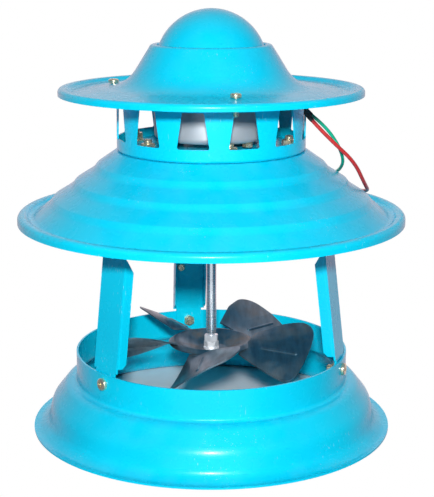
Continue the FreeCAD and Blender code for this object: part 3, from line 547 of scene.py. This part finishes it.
def make_lead(colour, route, radius):
    name, node, slot = colour + "_lead", "lead_" + colour, colour + "_pvc"
    data = bpy.data.curves.new(name, "CURVE")
    data.dimensions = "3D"
    data.bevel_depth = radius
    data.bevel_resolution = 6
    data.use_fill_caps = True
    data.materials.append(MATERIALS[slot])
    spline = data.splines.new("NURBS")
    spline.points.add(len(route) - 1)
    for point, place in zip(spline.points, route):
        point.co = (*place, 1)
    spline.order_u = 3
    spline.use_endpoint_u = True
    spline.resolution_u = 10
    obj = bpy.data.objects.new(name, data)
    bpy.context.scene.collection.objects.link(obj)
    points = spline_points(data)
    # a black tube makes the lead's first stretch dark; bare copper strands at its end
    ends = [make_dark_tube(colour + "_dark_tube", points, radius),
            make_strands(colour + "_strands", points, radius)]
    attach(obj, "frame")
    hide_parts(node)


def make_leads():
    make_lead("red", RED_ROUTE, 1.5 * MM)
    make_lead("green", GREEN_ROUTE, 1.3 * MM)


# ------------------------------------------------------------------ stage and light
PAPER_RADIUS = 0.1405                       # ends under the base skirt's rim
PAPER_SIDES = 128
PAPER_HEIGHT = -0.0002
SWEEP_SIZE = 24
SWEEP_HEIGHT = -0.0006
BACKDROP_RADIUS = 12                        # inside the camera's clip end from any side
FRONT_COLOUR = (0.07, 0.11, 0.17)           # the dim bluish room behind the flash
BACK_COLOUR = (1.10, 0.86, 0.90)            # pinkish grey, behind the object
WORLD_BLEND = (0.2, 0.95)                   # from the one to the other, by a direction's +Y
LIGHTS = [
    # name, place, aimed at, size, watts, colour, seen in reflections
    ("flash", (0.0, -1.05, 0.50), (0, 0, 0.18), (0.07, 0.07), 14.6, (1, 1, 1), True),
    ("table_glow", (0.0, -1.0, -0.12), (0, 0, 0.14), (1.2, 0.5), 1.5, (0.93, 0.97, 1.0), True),
    ("overhead", (0.0, 0.1, 1.8), (0, 0, 0.1), (1.6, 1.6), 0.4, (1, 1, 1), True),
    ("rear_fill", (0.0, 1.4, 0.55), (0, 0, 0.15), (0.8, 0.8), 8.0, (1, 1, 1), False),
]


def area_light(name, place, aim, size, power, colour, glossy):
    data = bpy.data.lights.new(name, "AREA")
    data.shape = "RECTANGLE"
    data.size, data.size_y = size
    data.energy = power
    data.color = colour
    obj = bpy.data.objects.new(name, data)
    obj.location = place
    obj.visible_glossy = glossy
    obj.rotation_euler = (Vector(aim) - Vector(place)).to_track_quat("-Z", "Y").to_euler()
    bpy.context.scene.collection.objects.link(obj)


def make_world():
    """A plain surround that blends from the front's colour to the back's."""
    world = bpy.data.worlds.new("studio")
    world.use_nodes = True
    graph = Graph(world.node_tree)
    depth = graph.split(graph.node("ShaderNodeTexCoord").outputs["Generated"])["Y"]
    sky = graph.mix(graph.ramp(depth, *WORLD_BLEND), FRONT_COLOUR, BACK_COLOUR)
    graph.feed(world.node_tree.nodes["Background"].inputs["Color"], sky)
    bpy.context.scene.world = world


def make_stage():
    """Paper under the open base, and a white floor and backdrop that only the camera sees."""
    bpy.ops.mesh.primitive_circle_add(vertices=PAPER_SIDES, radius=PAPER_RADIUS,
                                      fill_type="NGON", location=(0, 0, PAPER_HEIGHT))
    floor = bpy.context.object
    floor.name = "floor"
    floor.data.materials.append(floor_paper())
    white = backdrop_white()
    bpy.ops.mesh.primitive_plane_add(size=SWEEP_SIZE, location=(0, 0, SWEEP_HEIGHT))
    sweep = bpy.context.object
    sweep.name = "sweep"
    bpy.ops.mesh.primitive_uv_sphere_add(segments=48, ring_count=24, radius=BACKDROP_RADIUS)
    backdrop = bpy.context.object
    backdrop.name = "backdrop"
    for obj in (sweep, backdrop):
        obj.data.materials.append(white)
        obj.visible_diffuse = False
        obj.visible_glossy = False
        obj.visible_shadow = False
    for light in LIGHTS:
        area_light(*light)
    make_world()
    bpy.context.scene.view_settings.view_transform = "Standard"


make_camera()
make_leads()
dress_cad_nodes()
make_threads()
make_stage()
